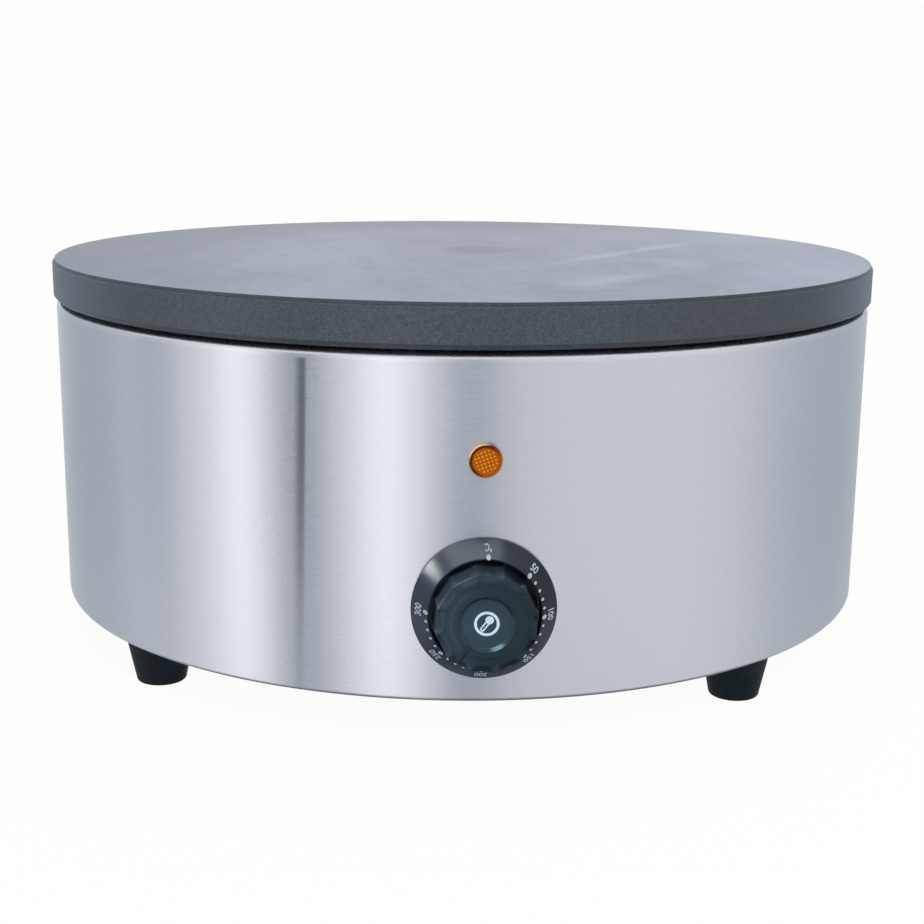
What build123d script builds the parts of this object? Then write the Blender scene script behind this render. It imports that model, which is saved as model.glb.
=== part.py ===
from build123d import *
import os
from collections import namedtuple
from math import cos, pi, radians, sin, sqrt, tan

# Electric crepe maker: a cast-iron griddle plate on a stainless drum.
# Millimetres. +Z is up, the origin is on the floor under the drum's axis,
# and the control knob faces -Y.

# ---- Driving dimensions ----------------------------------------------------

shell_radius = 198.8
shell_height = 141.0
sheet = 1.0
bend_radius = 2.0
top_flange_width = 32.0
bottom_flange_width = 36.0

plate_overhang = 1.2         # the plate's rim beyond the drum
plate_rim_height = 18.65
plate_rim_width = 11.0
plate_thickness = 12.5
plate_edge_round = 1.5
plate_edge_chamfer = 2.0
plate_gap = 1.85             # open slot between the drum and the plate's rim
boss_radius = 8.0
stud_depth = 9.0             # how far a stud is screwed into the plate
plate_stud_inset = 20.8      # stud axis inside the drum's outer face
plate_stud_turn = 40.0       # degrees, first stud from +X

foot_height = 20.0
foot_top_radius = 15.0
foot_bottom_radius = 10.9
foot_edge_round = 1.2
foot_inset = 17.3            # foot axis inside the drum's outer face
foot_recess_radius = 6.2
foot_recess_depth = 9.0
base_turn = -5.5             # degrees, feet and base plate against the knob

base_sheet = 1.2
base_screw_inset = 22.8
vent_length = 34.0
vent_width = 5.0
vent_inset = 94.8
vent_count = 16

element_radius = 3.3
loop_inset = 17.5            # outer loop's axis inside the pan's wall
loop_spacing = 70.0          # between the two loops' axes
element_bend = 12.0
tail_gap = 42.0              # between the two ends of one loop
tail_azimuth = 30.0
tail_below_pan = 12.0
bush_wall = 2.2
bush_length = 9.0
bush_drop = 3.0              # how far the bushes stand out below the pan
terminal_radius = 3.2
terminal_length = 8.0

clamp_width = 16.0
clamp_thickness = 3.0
clamp_overhang = 9.0
clamp_boss_height = 4.0
clamp_azimuth = 90.0

bulb_radius = 3.0
bulb_length = 100.0
bulb_clip_spacing = 60.0
bulb_clip_width = 12.0
bulb_clip_sheet = 1.5
bulb_clip_offset = 11.0      # clip screw to the bulb's axis
bulb_clip_overhang = 4.0

pan_sheet = 0.8
pan_depth = 26.0
pan_lap = 0.7                # the pan's wall under the drum's flange
pan_flange_inset = 8.8
insulation_thickness = 14.0
feed_hole = 6.0              # radius of the capillary's hole through the pan
feed_reach = 20.0            # that hole beyond the bulb's end

control_height = 39.8        # control axis above the drum's lower edge
dial_band = 6.9              # from the well to the dial's outer edge
dial_edge = 0.8
dial_height = 8.5
dial_lip = 0.7
dial_floor = 2.0
dial_relief = 3.4
spindle_radius = 3.0
spindle_flat = 1.6           # the flat's distance from the spindle's axis
spindle_hole = 6.0
control_screw_length = 10.0

knob_base_radius = 21.3
knob_taper = 1.2             # base radius less face radius
knob_reach = 20.5            # the knob's face beyond the drum
knob_margin = 0.9            # between the knob and the dial's well
knob_lift = 1.0              # between the knob and the dial's floor
knob_wall = 1.8
knob_roof = 3.5
knob_flutes = 12
knob_cusp_angle = 19.0       # degrees clockwise from the top
flute_depth_base = 1.4
flute_depth_face = 0.55
knob_dish_radius = 11.2
knob_dish_depth = 1.4
knob_dish_slope = 45.0       # degrees, the dish's wall against its axis
knob_edge_round = 0.35
knob_pointer_angle = 217.0   # degrees clockwise from the top
knob_pointer_width = 2.6
knob_pointer_depth = 0.7
knob_hub_radius = 6.0
knob_clip_thickness = 0.4
knob_clip_width = 3.6
knob_clip_length = 10.0

yoke_half_width = 20.0
yoke_height = 30.0
yoke_sheet = 1.5
thermostat_width = 44.0
thermostat_height = 36.0
thermostat_depth = 24.0
thermostat_bore = 10.0
thermostat_round = 3.0
blade_width = 6.3
blade_thickness = 0.8
blade_length = 10.0
blade_spacing = 20.0
blade_rise = 8.0             # blades above and below the spindle's axis

lamp_drop = 40.9             # lamp axis below the drum's upper edge
lamp_lens_radius = 6.65
lamp_lens_height = 3.0
lamp_lens_round = 1.0
lamp_barrel_radius = 4.8
lamp_barrel_length = 12.0
lamp_body_radius = 5.6
lamp_body_length = 12.0
lamp_body_round = 0.7
lamp_nut_radius = 8.0
lamp_nut_thickness = 3.0
lamp_pin_radius = 0.9
lamp_pin_length = 6.0
lamp_pin_spacing = 5.6

gland_height = 38.0          # gland axis above the drum's lower edge
gland_seal_thickness = 1.5
gland_seal_radius = 10.5
gland_hex_length = 6.0
gland_hex_width = 20.0
gland_thread_radius = 8.0
gland_inner_length = 13.0
gland_neck_radius = 7.4
gland_neck_length = 7.0
gland_cap_radius = 9.8
gland_cap_length = 13.0
gland_cap_mouth = 5.4
gland_cap_round = 2.45
gland_bore = 5.0
bush_bore = 4.25             # grips an 8.5 mm round cable
gland_bush_radius = 6.0
gland_bush_length = 10.0
gland_locknut_width = 20.0
gland_locknut_thickness = 4.0

block_poles = 3
block_pitch = 13.0
block_depth = 20.0
block_height = 16.0
block_inset = 70.8           # block's middle inside the drum's outer face
block_bore = 2.0
block_bore_height = 6.0
block_bore_depth = 6.0
block_screw_radius = 1.8
block_screw_length = 6.0
block_screw_spacing = 10.0
earth_gap = 36.0             # block's end to the earth stud's axis
earth_stud_length = 18.0

lead_radius = 1.2
lamp_lead_radius = 1.0
capillary_radius = 0.8

# Clearances, radial or face to face.
running_fit = 0.05           # the turning spindle in its bore
thread_fit = 0.05            # a screw in the thread that holds it
free_hole = 0.3              # a screw or stud in a plain hole
touch = 0.05                 # a round face lying against another face
skin_gap = 0.2               # a flat piece against the round drum
slip_gap = 0.4               # a disc dropped into a round wall
feed_gap = 1.5               # an element's end through the insulation
head_gap = 0.1               # the dial's screw heads inside the knob

Thread = namedtuple("Thread", "radius nut_width nut_height head_radius head_height")
M3 = Thread(1.5, 5.5, 2.4, 2.8, 2.0)
M4 = Thread(2.0, 7.0, 3.2, 4.0, 2.6)
M5 = Thread(2.5, 8.0, 4.0, 4.75, 3.2)
M6 = Thread(3.0, 10.0, 5.0, 6.0, 3.8)
thread_end = 2.0             # how far a screw stands past its nut
washer = 1.0

# ---- Levels and places worked out from them --------------------------------

plate_radius = shell_radius + plate_overhang
plate_stud_circle = shell_radius - plate_stud_inset
foot_circle = shell_radius - foot_inset
base_screw_circle = shell_radius - base_screw_inset
vent_circle = shell_radius - vent_inset
block_distance = shell_radius - block_inset
pan_flange_radius = shell_radius - pan_flange_inset
pan_wall_radius = shell_radius - top_flange_width + pan_lap
outer_loop_radius = pan_wall_radius - loop_inset
inner_loop_radius = outer_loop_radius - loop_spacing
between_loops = (outer_loop_radius + inner_loop_radius) / 2

base_z = foot_height
shell_top = base_z + shell_height
rim_z = shell_top + plate_gap
plate_top = rim_z + plate_rim_height
underside = plate_top - plate_thickness
base_top = base_z + sheet + base_sheet
shell_inside = shell_radius - sheet
flange_under = shell_top - sheet
pan_under = flange_under - pan_depth
pan_floor = pan_under + pan_sheet
element_z = underside - touch - element_radius
clamp_top = element_z - element_radius - touch
clamp_under = clamp_top - clamp_thickness
bulb_z = underside - touch - bulb_radius
bulb_clip_top = bulb_z - bulb_radius - touch
bulb_clip_under = bulb_clip_top - bulb_clip_sheet
tail_end = pan_under - tail_below_pan
terminal_end = tail_end - terminal_length
control_z = base_z + control_height
lamp_z = shell_top - lamp_drop
gland_z = base_z + gland_height

LOW = (Align.CENTER, Align.CENTER, Align.MIN)


def on_circle(radius, degrees_from_x):
    """Point on a circle about the drum's axis."""
    angle = radians(degrees_from_x)
    return radius * cos(angle), radius * sin(angle)


def around(radius, count, first):
    """Evenly spaced points on a circle about the drum's axis."""
    return [on_circle(radius, first + i * 360 / count) for i in range(count)]


plate_stud_places = around(plate_stud_circle, 4, plate_stud_turn)
foot_places = around(foot_circle, 4, base_turn - 135)
base_screw_places = around(base_screw_circle, 4, base_turn - 90)
clamp_places = around(between_loops, 3, clamp_azimuth)
bulb_clip_places = [
    (side * bulb_clip_spacing / 2, -between_loops - bulb_clip_offset) for side in (-1, 1)
]
capillary_hole = (bulb_length / 2 + feed_reach, -between_loops)

# Pieces on the front are made about their own axis, with local Z pointing
# out of the drum and local Y up, and then carried to these places.
front = Pos(0, -shell_radius, control_z) * Rot(90, 0, 0)
front_lamp = Pos(0, -shell_radius, lamp_z) * Rot(90, 0, 0)
rear = Pos(0, shell_radius, gland_z) * Rot(-90, 0, 0)


# ---- Plain shapes -----------------------------------------------------------


def rod(radius, low, high, x=0, y=0):
    """Upright cylinder between two heights."""
    return Pos(x, y, low) * Cylinder(radius, high - low, align=LOW)


def tube(outer, inner, low, high, x=0, y=0):
    """Upright ring between two heights."""
    return rod(outer, low, high, x, y) - rod(inner, low, high, x, y)


def box(size_x, size_y, low, high, x=0, y=0):
    """Upright block between two heights."""
    return Pos(x, y, low) * Box(size_x, size_y, high - low, align=LOW)


def hexagon(width, low, high, x=0, y=0):
    """Upright hexagonal prism, sized across its flats."""
    outline = RegularPolygon(width / 2, 6, major_radius=False)
    return Pos(x, y, low) * extrude(outline, high - low)


def nut(thread, low, x=0, y=0):
    """Hexagon nut lying on a level."""
    high = low + thread.nut_height
    return hexagon(thread.nut_width, low, high, x, y) - rod(thread.radius + thread_fit, low, high, x, y)


def screw(thread, head_low, tip, x=0, y=0):
    """Screw with a domed head; the tip is above or below the head."""
    up = tip > head_low
    head = Cylinder(thread.head_radius, thread.head_height, align=LOW)
    head = fillet(head.edges().sort_by(Axis.Z)[0 if up else -1], thread.head_height / 3)
    head = Pos(x, y, head_low) * head
    if up:
        return head + rod(thread.radius, head_low + thread.head_height, tip, x, y)
    return head + rod(thread.radius, tip, head_low, x, y)


def group(pieces):
    """Several separate solids that share one node."""
    return Compound(children=[piece.solid() for piece in pieces])


def wall_depth(half_width, radius):
    """How far a round wall falls back at a half width, from its crown."""
    return radius - sqrt(radius**2 - half_width**2)


def lead(points, radius):
    """Wire or thin pipe along straight runs joined by the largest arcs they allow."""
    points = [Vector(*point) for point in points]
    radii = []
    for before, corner, after in zip(points, points[1:], points[2:]):
        run_in, run_out = corner - before, after - corner
        turn = radians(run_in.get_angle(run_out))
        radii.append(0.45 * min(run_in.length, run_out.length) / tan(turn / 2))
    path = FilletPolyline(*points, radius=radii)
    section = Plane(origin=path @ 0, z_dir=path % 0) * Circle(radius)
    wire = sweep(section, path=path)
    print("lead radii", [round(r, 1) for r in radii], "volume",
          round(wire.volume / (pi * radius**2 * path.length), 4))
    return wire


# ---- Griddle plate and what holds it ----------------------------------------


def griddle_plate():
    """Cast-iron disc with a deep rim and screwed bosses underneath."""
    plate = rod(plate_radius, rim_z, plate_top)
    plate = fillet(plate.edges().sort_by(Axis.Z)[-1], plate_edge_round)
    plate = chamfer(plate.edges().sort_by(Axis.Z)[0], plate_edge_chamfer)
    plate -= rod(plate_radius - plate_rim_width, rim_z, underside)
    for x, y in plate_stud_places:
        plate += rod(boss_radius, rim_z, underside, x, y)
        plate -= rod(M6.radius + thread_fit, rim_z, rim_z + stud_depth, x, y)
    clamp_boss = underside - clamp_boss_height
    for x, y in clamp_places:
        plate += rod(boss_radius, clamp_boss, underside, x, y)
        plate -= rod(M6.radius + thread_fit, clamp_boss, clamp_boss + stud_depth, x, y)
    for x, y in bulb_clip_places:
        plate += rod(boss_radius - 2 * touch, bulb_clip_top, underside, x, y)
        plate -= rod(M4.radius + thread_fit, bulb_clip_top, bulb_clip_top + stud_depth, x, y)
    return plate


def plate_studs():
    """Studs from the plate down through the drum's flange and the pan's."""
    tip = flange_under - pan_sheet - M6.nut_height - thread_end
    return group(rod(M6.radius, tip, rim_z + stud_depth, x, y) for x, y in plate_stud_places)


def plate_washers():
    """Heat-break washers, which set the slot between drum and plate."""
    bore = M6.radius + free_hole
    return group(tube(boss_radius, bore, shell_top, rim_z, x, y) for x, y in plate_stud_places)


def plate_nuts():
    """Nuts that pull the plate, drum flange and pan together."""
    low = flange_under - pan_sheet - M6.nut_height
    return group(nut(M6, low, x, y) for x, y in plate_stud_places)


# ---- Heating elements --------------------------------------------------------


def tail_places(loop_radius):
    """Where the two ends of a loop turn down, left and right of its gap."""
    half_gap = tail_gap / 2
    reach = sqrt(loop_radius**2 - half_gap**2)
    turn = Rot(0, 0, tail_azimuth)
    places = []
    for side in (1, -1):
        corner = turn * Pos(reach, side * half_gap, 0)
        along = turn * Pos(reach / loop_radius, side * half_gap / loop_radius, 0)
        outward = along.position
        tangent = Vector(outward.Y, -outward.X, 0) * side
        places.append((corner.position, tangent))
    return places


def tail_points(loop_radius):
    """Axis positions of the two upright tails of a loop."""
    return [corner + tangent * element_bend for corner, tangent in tail_places(loop_radius)]


def heater(loop_radius):
    """One tubular element: a loop under the plate with both ends bent down."""
    level = Vector(0, 0, element_z)
    drop = Vector(0, 0, -element_bend)
    (first, first_tangent), (last, last_tangent) = tail_places(loop_radius)
    far_side = Vector(*on_circle(-loop_radius, tail_azimuth), 0)
    bend_share = sin(pi / 4)

    def bend(corner, tangent):
        middle = corner + tangent * element_bend * bend_share + drop * (1 - bend_share)
        end = corner + tangent * element_bend + drop
        return ThreePointArc(level + end, level + middle, level + corner), level + end

    first_bend, first_end = bend(first, first_tangent)
    last_bend, last_end = bend(last, last_tangent)
    first_tip = Vector(first_end.X, first_end.Y, tail_end)
    last_tip = Vector(last_end.X, last_end.Y, tail_end)
    path = Wire([
        Line(first_tip, first_end),
        first_bend,
        ThreePointArc(level + first, level + far_side, level + last),
        last_bend,
        Line(last_end, last_tip),
    ])
    section = Plane(origin=first_tip, z_dir=(0, 0, 1)) * Circle(element_radius)
    return sweep(section, path=path)


def heater_terminals():
    """Screw terminals on the four element ends."""
    tails = tail_points(outer_loop_radius) + tail_points(inner_loop_radius)
    return group(rod(terminal_radius, terminal_end, tail_end, tail.X, tail.Y) for tail in tails)


def heater_bushes():
    """Ceramic bushes that carry the element ends through the pan."""
    tails = tail_points(outer_loop_radius) + tail_points(inner_loop_radius)
    bore = element_radius + touch
    low = pan_under - bush_drop
    return group(
        tube(bore + bush_wall, bore, low, low + bush_length, tail.X, tail.Y) for tail in tails
    )


def clamp_bars():
    """Steel strips that press both loops up against the plate."""
    length = loop_spacing + 2 * clamp_overhang
    bars = []
    for i, (x, y) in enumerate(clamp_places):
        bar = box(length, clamp_width, clamp_under, clamp_top, between_loops)
        bar = Rot(0, 0, clamp_azimuth + i * 120) * bar
        bars.append(bar - rod(M6.radius + free_hole, clamp_under, clamp_top, x, y))
    return group(bars)


def clamp_studs():
    """Studs from the plate's inner bosses through the clamp bars."""
    tip = clamp_under - M6.nut_height - thread_end
    top = underside - clamp_boss_height + stud_depth
    return group(rod(M6.radius, tip, top, x, y) for x, y in clamp_places)


def clamp_nuts():
    """Nuts under the clamp bars."""
    return group(nut(M6, clamp_under - M6.nut_height, x, y) for x, y in clamp_places)


# ---- Heat sensor --------------------------------------------------------------


def sensor_bulb():
    """Thermostat bulb lying against the plate between the loops."""
    bulb = Pos(-bulb_length / 2, -between_loops, bulb_z) * Rot(0, 90, 0)
    return bulb * Cylinder(bulb_radius, bulb_length, align=LOW)


def bulb_clips():
    """Flat clips that hold the bulb up."""
    reach = bulb_clip_offset + bulb_radius + bulb_clip_overhang
    clips = []
    for x, y in bulb_clip_places:
        clip = box(bulb_clip_width, reach + boss_radius, bulb_clip_under, bulb_clip_top,
                   x, y + (reach - boss_radius) / 2)
        clips.append(clip - rod(M4.radius + free_hole, bulb_clip_under, bulb_clip_top, x, y))
    return group(clips)


def bulb_clip_screws():
    """Screws through the clips into the plate's small bosses."""
    low = bulb_clip_under - M4.head_height
    tip = bulb_clip_top + stud_depth - thread_end
    return group(screw(M4, low, tip, x, y) for x, y in bulb_clip_places)


def capillary_tube():
    """Thin pipe from the bulb down to the thermostat's back."""
    hole_x, hole_y = capillary_hole
    back = thermostat_back + touch
    return lead([
        (bulb_length / 2, hole_y, bulb_z),
        (hole_x, hole_y, bulb_z),
        (hole_x, hole_y, pan_under - 14),
        (hole_x - 6, hole_y - 5, control_z + 26),
        (28, back + 36, control_z + 4),
        (0, back + 20, control_z - 4),
        (0, back, control_z - 4),
    ], capillary_radius)


# ---- Heat shield ---------------------------------------------------------------


def reflector_pan():
    """Pressed pan under the elements, hung from the plate studs."""
    pan = rod(pan_wall_radius, pan_under, flange_under)
    pan -= rod(pan_wall_radius - pan_sheet, pan_floor, flange_under)
    rim = tube(pan_flange_radius, pan_wall_radius - pan_sheet, flange_under - pan_sheet, flange_under)
    pan += rim
    for x, y in plate_stud_places:
        pan -= rod(M6.radius + free_hole, flange_under - pan_sheet, flange_under, x, y)
    for tail in tail_points(outer_loop_radius) + tail_points(inner_loop_radius):
        pan -= rod(element_radius + 2 * touch + bush_wall, pan_under, pan_floor, tail.X, tail.Y)
    return pan - rod(feed_hole, pan_under, pan_floor, *capillary_hole)


def insulation_disc():
    """Ceramic-fibre disc lying in the pan."""
    high = pan_floor + insulation_thickness
    disc = rod(pan_wall_radius - pan_sheet - slip_gap, pan_floor, high)
    for tail in tail_points(outer_loop_radius) + tail_points(inner_loop_radius):
        disc -= rod(element_radius + bush_wall + feed_gap, pan_floor, high, tail.X, tail.Y)
    return disc - rod(feed_hole, pan_floor, high, *capillary_hole)


# ---- Drum ------------------------------------------------------------------------


def drum_shell():
    """Rolled stainless drum with both edges turned in."""
    can = rod(shell_radius, base_z, shell_top)
    can = fillet(can.edges().filter_by(GeomType.CIRCLE), bend_radius)
    hollow = rod(shell_inside, base_z + sheet, shell_top - sheet)
    hollow = fillet(hollow.edges().filter_by(GeomType.CIRCLE), bend_radius - sheet)
    shell = can - hollow
    shell -= rod(shell_radius - bottom_flange_width, base_z, base_z + sheet)
    shell -= rod(shell_radius - top_flange_width, shell_top - sheet, shell_top)
    for x, y in plate_stud_places:
        shell -= rod(M6.radius + free_hole, shell_top - sheet, shell_top, x, y)
    for x, y in foot_places:
        shell -= rod(M5.radius + free_hole, base_z, base_z + sheet, x, y)
    for x, y in base_screw_places:
        shell -= rod(M4.radius + free_hole, base_z, base_z + sheet, x, y)
    through = top_flange_width / 2
    shell -= front * rod(spindle_hole, -through, through)
    for x, y in control_screw_places:
        shell -= front * rod(M4.radius + free_hole, -through, through, x, y)
    shell -= front_lamp * rod(lamp_barrel_radius + free_hole, -through, through)
    shell -= rear * rod(gland_thread_radius + free_hole, -through, through)
    return shell


def base_plate():
    """Bottom sheet with a ring of vent slots, dropped into the drum."""
    low, high = base_z + sheet, base_top
    plate = rod(shell_inside - (bend_radius - sheet) - touch, low, high)
    for x, y in foot_places:
        plate -= rod(M5.radius + free_hole, low, high, x, y)
    for x, y in base_screw_places:
        plate -= rod(M4.radius + free_hole, low, high, x, y)
    slot = Pos(vent_circle, 0, low) * extrude(SlotOverall(vent_length, vent_width), high - low)
    for i in range(vent_count):
        plate -= Rot(0, 0, base_turn + i * 360 / vent_count) * slot
    for x, y in block_screw_places:
        plate -= rod(M3.radius + thread_fit, low, high, x, y)
    return plate - rod(M5.radius + thread_fit, low, high, earth_offset, block_distance)


def base_screws():
    """Screws up through the drum's lower flange and the base plate."""
    tip = base_top + M4.nut_height + thread_end
    return group(screw(M4, base_z - M4.head_height, tip, x, y) for x, y in base_screw_places)


def base_nuts():
    """Nuts on the base plate."""
    return group(nut(M4, base_top, x, y) for x, y in base_screw_places)


def foot(x, y):
    """Tapered rubber foot with a recess for its screw."""
    body = Cone(foot_bottom_radius, foot_top_radius, foot_height, align=LOW)
    body = fillet(body.edges().sort_by(Axis.Z)[0], foot_edge_round)
    body -= rod(foot_recess_radius, 0, foot_recess_depth)
    body -= rod(M5.radius + free_hole, foot_recess_depth, foot_height)
    return Pos(x, y, 0) * body


def foot_washers():
    """Washers between the screw heads and the rubber."""
    low = foot_recess_depth - washer
    outer = M5.head_radius + washer
    return group(
        tube(outer, M5.radius + free_hole, low, foot_recess_depth, x, y) for x, y in foot_places
    )


def foot_screws():
    """Screws up through the feet, the drum's flange and the base plate."""
    low = foot_recess_depth - washer - M5.head_height
    tip = base_top + M5.nut_height + thread_end
    return group(screw(M5, low, tip, x, y) for x, y in foot_places)


def foot_nuts():
    """Nuts on the base plate above the feet."""
    return group(nut(M5, base_top, x, y) for x, y in foot_places)


# ---- Thermostat, dial and knob -----------------------------------------------------

# Radii, then local heights measured outward from the drum's crown line.
knob_face_radius = knob_base_radius - knob_taper
knob_cavity_radius = knob_base_radius - flute_depth_base - knob_wall
dial_well_radius = knob_base_radius + knob_margin
dial_radius = dial_well_radius + dial_band
dial_back = skin_gap
dial_top = dial_back + dial_height
dial_floor_top = dial_back + dial_floor
knob_base = dial_floor_top + knob_lift
knob_inside = knob_reach - knob_roof
yoke_front = -sheet - wall_depth(yoke_half_width, shell_inside) - skin_gap
yoke_back = yoke_front - yoke_sheet
spindle_tip = knob_inside - 2 * running_fit
spindle_root = yoke_back - thermostat_bore
control_screw_offset = knob_cavity_radius - M4.head_radius - head_gap
control_screw_places = [(side * control_screw_offset, 0) for side in (-1, 1)]
thermostat_back = -shell_radius - yoke_back + thermostat_depth
blade_places = [(side * blade_spacing / 2, rise * blade_rise) for rise in (1, -1) for side in (-1, 1)]


def control_bezel():
    """Conical dial ring with a well for the knob."""
    profile = make_face(Polyline(
        (spindle_hole, dial_back),
        (dial_radius, dial_back),
        (dial_radius, dial_back + dial_edge),
        (dial_well_radius + dial_lip, dial_top),
        (dial_well_radius, dial_top),
        (dial_well_radius, dial_floor_top),
        (spindle_hole, dial_floor_top),
        close=True,
    ))
    bezel = revolve(Plane.XZ * profile, Axis.Z)
    relief = make_face(Polyline(
        (dial_well_radius + 2 * dial_lip, dial_back),
        (dial_radius - 2 * dial_lip, dial_back),
        (dial_well_radius + 2 * dial_lip, dial_back + dial_relief),
        close=True,
    ))
    bezel -= revolve(Plane.XZ * relief, Axis.Z)
    for x, y in control_screw_places:
        bezel -= rod(M4.radius + free_hole, dial_back, dial_floor_top, x, y)
    return front * bezel


def fluted_outline(cusp_radius, depth):
    """Knob section: arcs from cusp to cusp, each set in by a depth."""
    step = 2 * pi / knob_flutes
    start = radians(knob_cusp_angle)
    arcs = []
    for i in range(knob_flutes):
        here, middle, there = (start + (i + part) * step for part in (0, 0.5, 1))
        inner = cusp_radius - depth
        arcs.append(ThreePointArc(
            (cusp_radius * sin(here), cusp_radius * cos(here)),
            (inner * sin(middle), inner * cos(middle)),
            (cusp_radius * sin(there), cusp_radius * cos(there)),
        ))
    return make_face(Wire(arcs))


def control_knob():
    """Fluted knob with a dished face, a pointer notch and a hollow back."""
    base = Pos(0, 0, knob_base) * fluted_outline(knob_base_radius, flute_depth_base)
    face = Pos(0, 0, knob_reach) * fluted_outline(knob_face_radius, flute_depth_face)
    knob = loft([base, face], ruled=True)
    knob = fillet(knob.faces().sort_by(Axis.Z)[-1].edges(), knob_edge_round)
    dish_floor = knob_dish_radius - knob_dish_depth * tan(radians(knob_dish_slope))
    dish = Cone(dish_floor, knob_dish_radius, knob_dish_depth, align=LOW)
    knob -= Pos(0, 0, knob_reach - knob_dish_depth) * dish
    notch_length = knob_base_radius - dish_floor
    notch = box(knob_pointer_width, notch_length, knob_reach - knob_pointer_depth, knob_reach,
                0, dish_floor + notch_length / 2)
    knob -= Rot(0, 0, -knob_pointer_angle) * notch
    knob -= tube(knob_cavity_radius, knob_hub_radius, knob_base, knob_inside)
    bore = rod(spindle_radius + running_fit, knob_base, knob_inside)
    slot = spindle_flat + knob_clip_thickness + 2 * running_fit
    keep = 2 * spindle_radius
    bore -= box(2 * keep, keep, knob_base, knob_inside, 0, spindle_flat + running_fit + keep / 2)
    bore += box(knob_clip_width + 2 * running_fit, slot, knob_base, knob_inside, 0, slot / 2)
    knob -= bore
    return front * knob


def thermostat_spindle():
    """Steel spindle with a flat, from the thermostat out to the knob."""
    spindle = rod(spindle_radius, spindle_root + running_fit, spindle_tip)
    keep = 2 * spindle_radius
    spindle -= box(keep, keep, dial_floor_top, spindle_tip, 0, spindle_flat + keep / 2)
    return front * spindle


def knob_clip():
    """Leaf spring between the spindle's flat and the knob's hub."""
    low = spindle_flat + running_fit
    clip = box(knob_clip_width, knob_clip_thickness, spindle_tip - knob_clip_length, spindle_tip,
               0, low + knob_clip_thickness / 2)
    return front * clip


def thermostat_yoke():
    """Flat steel plate that carries the thermostat behind the drum's wall."""
    yoke = box(2 * yoke_half_width, yoke_height, yoke_back, yoke_front)
    yoke -= rod(spindle_radius + free_hole, yoke_back, yoke_front)
    for x, y in control_screw_places:
        yoke -= rod(M4.radius + thread_fit, yoke_back, yoke_front, x, y)
    return front * yoke


def thermostat_body():
    """Moulded switch housing behind the yoke."""
    back = yoke_back - thermostat_depth
    body = box(thermostat_width, thermostat_height, back, yoke_back)
    body = fillet(body.edges().filter_by(Axis.Z), thermostat_round)
    body -= rod(spindle_radius + running_fit, spindle_root, yoke_back)
    for x, y in control_screw_places:
        body -= rod(M4.radius + free_hole, yoke_back - control_screw_length, yoke_back, x, y)
    return front * body


def thermostat_blades():
    """Push-on terminal blades on the thermostat's back."""
    back = yoke_back - thermostat_depth
    return group(
        front * box(blade_thickness, blade_width, back - blade_length, back, x, y)
        for x, y in blade_places
    )


def thermostat_screws():
    """Screws through dial, drum and yoke, hidden under the knob."""
    tip = dial_floor_top - control_screw_length
    return group(front * screw(M4, dial_floor_top, tip, x, y) for x, y in control_screw_places)


# ---- Pilot lamp ---------------------------------------------------------------------

lamp_back = skin_gap / 2
lamp_barrel_end = lamp_back - lamp_barrel_length
lamp_pin_tip = lamp_barrel_end - lamp_body_length - lamp_pin_length
lamp_pin_places = [(side * lamp_pin_spacing / 2, 0) for side in (-1, 1)]


def lamp_lens():
    """Amber lens: a flat round cap and the barrel through the drum."""
    lens = rod(lamp_lens_radius, lamp_back, lamp_back + lamp_lens_height)
    lens = fillet(lens.edges().sort_by(Axis.Z)[-1], lamp_lens_round)
    lens += rod(lamp_barrel_radius, lamp_barrel_end, lamp_back)
    return front_lamp * lens


def lamp_body():
    """Moulded back of the lamp, with the neon inside it."""
    body = rod(lamp_body_radius, lamp_barrel_end - lamp_body_length, lamp_barrel_end)
    return front_lamp * fillet(body.edges().sort_by(Axis.Z)[0], lamp_body_round)


def lamp_nut():
    """Round nut behind the drum's wall."""
    high = -sheet - wall_depth(lamp_nut_radius, shell_inside) - skin_gap
    bore = lamp_barrel_radius + thread_fit
    return front_lamp * tube(lamp_nut_radius, bore, high - lamp_nut_thickness, high)


def lamp_pins():
    """Two solder pins on the lamp's back."""
    high = lamp_pin_tip + lamp_pin_length
    return group(front_lamp * rod(lamp_pin_radius, lamp_pin_tip, high, x, y) for x, y in lamp_pin_places)


# ---- Cable gland at the back -----------------------------------------------------------

hex_low = gland_seal_thickness
hex_high = hex_low + gland_hex_length
cap_high = hex_high + gland_cap_length
bush_low = hex_low + gland_hex_length / 2
bush_high = bush_low + gland_bush_length


def gland_seal():
    """Rubber washer squeezed to the drum's curve."""
    seal = rear * tube(gland_seal_radius, gland_thread_radius + free_hole, -gland_seal_thickness, hex_low)
    return seal - rod(shell_radius + touch, base_z, shell_top)


def gland_body():
    """Threaded gland body with its hexagon outside the drum."""
    body = hexagon(gland_hex_width, hex_low, hex_high)
    body += rod(gland_thread_radius, hex_low - gland_inner_length, hex_low)
    body += rod(gland_neck_radius, hex_high, hex_high + gland_neck_length)
    body -= rod(gland_bore, hex_low - gland_inner_length, bush_low)
    return rear * (body - rod(gland_bush_radius + touch, bush_low, hex_high + gland_neck_length))


def gland_cap():
    """Dome nut that squeezes the bush onto the cable."""
    cap = rod(gland_cap_radius, hex_high, cap_high)
    cap = fillet(cap.edges().sort_by(Axis.Z)[-1], gland_cap_round)
    cap -= rod(gland_neck_radius + thread_fit, hex_high, hex_high + gland_neck_length + touch)
    cap -= rod(gland_bush_radius + touch, hex_high, bush_high)
    return rear * (cap - rod(gland_cap_mouth, hex_high, cap_high))


def gland_bush():
    """Rubber bush that grips the mains cable."""
    return rear * tube(gland_bush_radius, bush_bore, bush_low, bush_high)


def gland_locknut():
    """Locknut inside the drum."""
    corner = gland_locknut_width / sqrt(3)
    high = -sheet - wall_depth(corner, shell_inside) - skin_gap
    locknut = hexagon(gland_locknut_width, high - gland_locknut_thickness, high)
    bore = gland_thread_radius + thread_fit
    return rear * (locknut - rod(bore, high - gland_locknut_thickness, high))


# ---- Terminal block and earth -------------------------------------------------------------

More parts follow.
